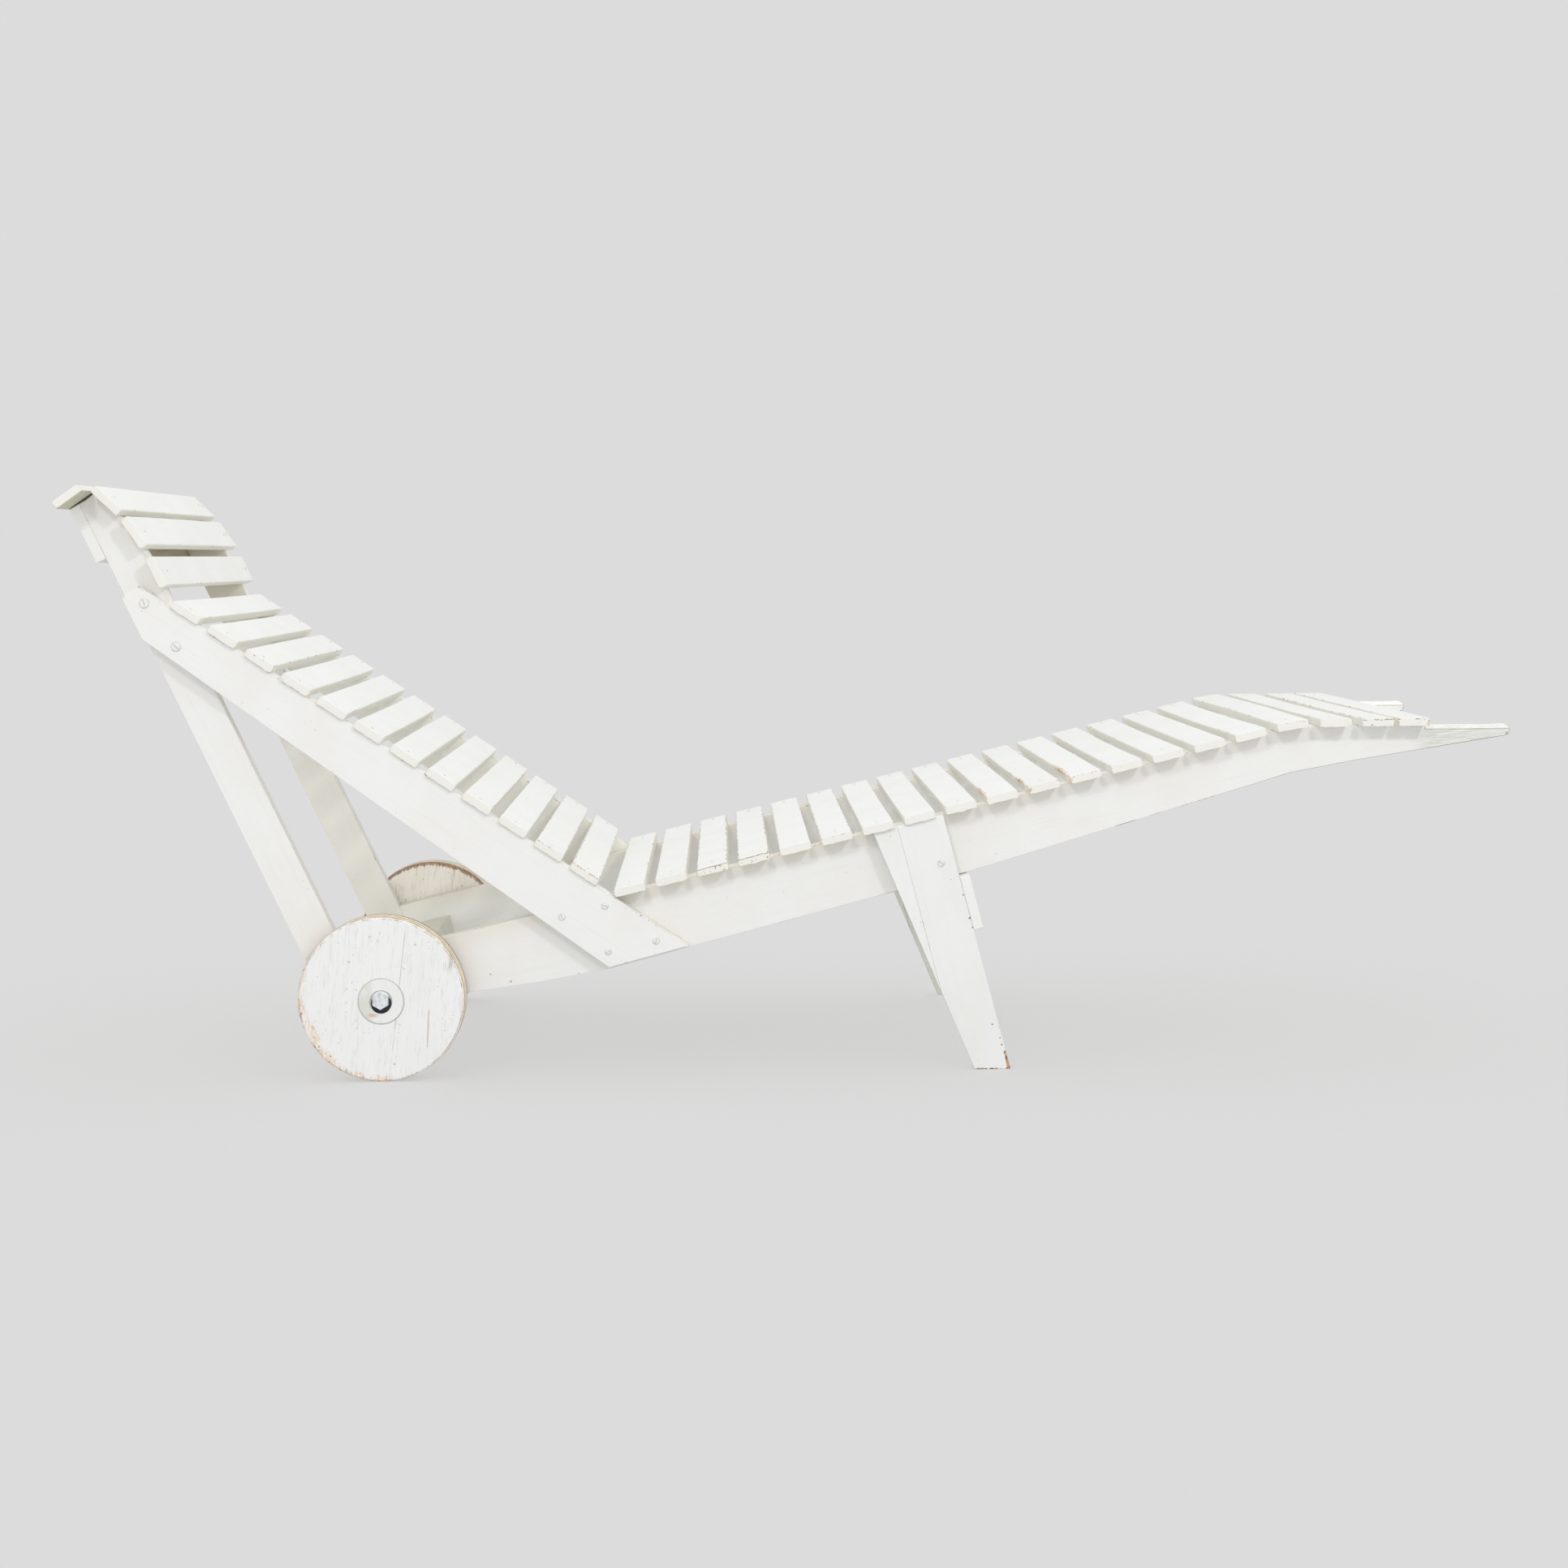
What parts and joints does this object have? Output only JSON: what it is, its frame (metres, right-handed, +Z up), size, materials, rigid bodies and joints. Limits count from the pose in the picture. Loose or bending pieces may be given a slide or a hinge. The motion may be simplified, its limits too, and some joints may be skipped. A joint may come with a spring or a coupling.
{
  "type": "wheeled garden lounger",
  "caption": "Slatted wooden garden lounger with a fixed sloping back and headrest, tapered plank legs, solid wooden wheels under the head end and carrying handles at the foot.",
  "frame": {"origin": "on the floor, under the middle of the whole chair", "axes": "+X from the headrest to the handles, +Y to the left of the person lying on it, +Z up"},
  "size_m": [1.9422, 0.684, 0.802],
  "materials": {
    "slats": "worn white paint",
    "seat_rails": "worn white paint",
    "back_rails": "worn white paint",
    "rear_posts": "worn white paint",
    "legs": "worn white paint",
    "leg_strips": "worn white paint",
    "cross_boards": "worn white paint",
    "axle_beam": "worn white paint",
    "wheels": "worn white paint, bare and cracked at the rim",
    "wheel_bushes": "dull",
    "wheel_rings": "worn white paint",
    "axle_bolts": "dull zinc",
    "spacer_washers": "dull",
    "screws": "worn white paint",
    "nails": "dull, overpainted"
  },
  "bodies": {
    "frame": {"seat_slat_01": "slats", "seat_slat_02": "slats", "seat_slat_03": "slats", "seat_slat_04": "slats", "seat_slat_05": "slats", "seat_slat_06": "slats", "seat_slat_07": "slats", "seat_slat_08": "slats", "seat_slat_09": "slats", "seat_slat_10": "slats", "seat_slat_11": "slats", "seat_slat_12": "slats", "seat_slat_13": "slats", "seat_slat_14": "slats", "seat_slat_15": "slats", "seat_slat_16": "slats", "seat_slat_17": "slats", "seat_slat_18": "slats", "seat_slat_19": "slats", "seat_slat_20": "slats", "back_slat_01": "slats", "back_slat_02": "slats", "back_slat_03": "slats", "back_slat_04": "slats", "back_slat_05": "slats", "back_slat_06": "slats", "back_slat_07": "slats", "back_slat_08": "slats", "back_slat_09": "slats", "back_slat_10": "slats", "back_slat_11": "slats", "back_slat_12": "slats", "head_slat_01": "slats", "head_slat_02": "slats", "head_slat_03": "slats", "cap_slat": "slats", "seat_rail_right": "seat_rails", "seat_rail_left": "seat_rails", "back_rail_right": "back_rails", "back_rail_left": "back_rails", "rear_post_right": "rear_posts", "rear_post_left": "rear_posts", "leg_board_right": "legs", "leg_board_left": "legs", "leg_strip_right": "leg_strips", "leg_strip_left": "leg_strips", "head_board": "cross_boards", "leg_cross_board": "cross_boards", "axle_beam": "axle_beam", "axle_bolts": "axle_bolts", "spacer_washers": "spacer_washers", "post_screws": "screws", "frame_screws": "screws", "slat_nails": "nails"},
    "right_wheel": {"wheel_right": "wheels", "wheel_bush_right": "wheel_bushes", "wheel_ring_right": "wheel_rings"},
    "left_wheel": {"wheel_left": "wheels", "wheel_bush_left": "wheel_bushes", "wheel_ring_left": "wheel_rings"}
  },
  "joints": [
    {"name": "right_wheel_spin", "type": "hinge", "parent": "frame", "child": "right_wheel", "pos_m": [-0.56129, -0.3035, 0.1115], "axis": [0, 1, 0], "continuous": true},
    {"name": "left_wheel_spin", "type": "hinge", "parent": "frame", "child": "left_wheel", "pos_m": [-0.56129, 0.3035, 0.1115], "axis": [0, 1, 0], "continuous": true}
  ]
}
